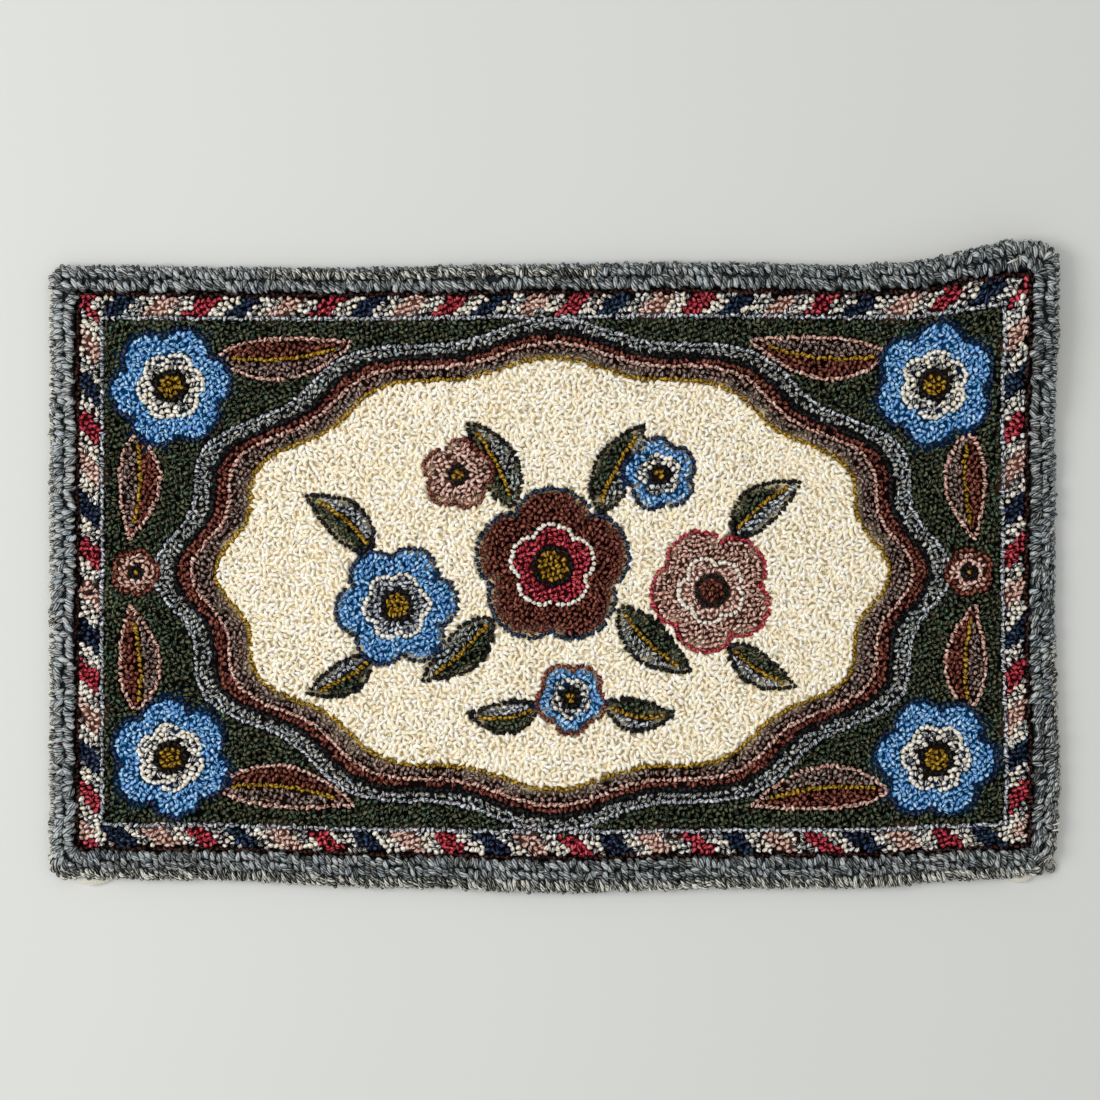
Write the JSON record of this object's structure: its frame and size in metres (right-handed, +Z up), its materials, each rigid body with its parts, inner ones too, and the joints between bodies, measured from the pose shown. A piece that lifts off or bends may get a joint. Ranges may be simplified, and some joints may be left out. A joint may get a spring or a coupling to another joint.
{
  "type": "hooked rug",
  "caption": "Rectangular hooked wool rug lying face up, with a fine looped floral field, a raised chunky looped border and a softly humped corner.",
  "frame": {"origin": "on the floor, under the middle of the rug's box", "axes": "+X along the rug's length, +Y across it towards its top edge, +Z up out of its pile"},
  "size_m": [0.6622, 0.4272, 0.0197],
  "materials": {
    "foundation_cloth": "plain woven cream foundation cloth, matt",
    "field_wool": "fine hooked wool loops in many yarn colours over a moss ground, matt",
    "outline_wool": "dark brown hooked wool loops, matt",
    "border_wool": "chunky two-ply blue-grey heather wool loops, matt",
    "edge_wool": "chunky two-ply marled wool loops in black, cream and grey, matt"
  },
  "bodies": {
    "root": {"foundation": "foundation_cloth", "field_pile": "field_wool", "outline_row": "outline_wool", "border_pile": "border_wool", "edge_row": "edge_wool"}
  },
  "joints": []
}
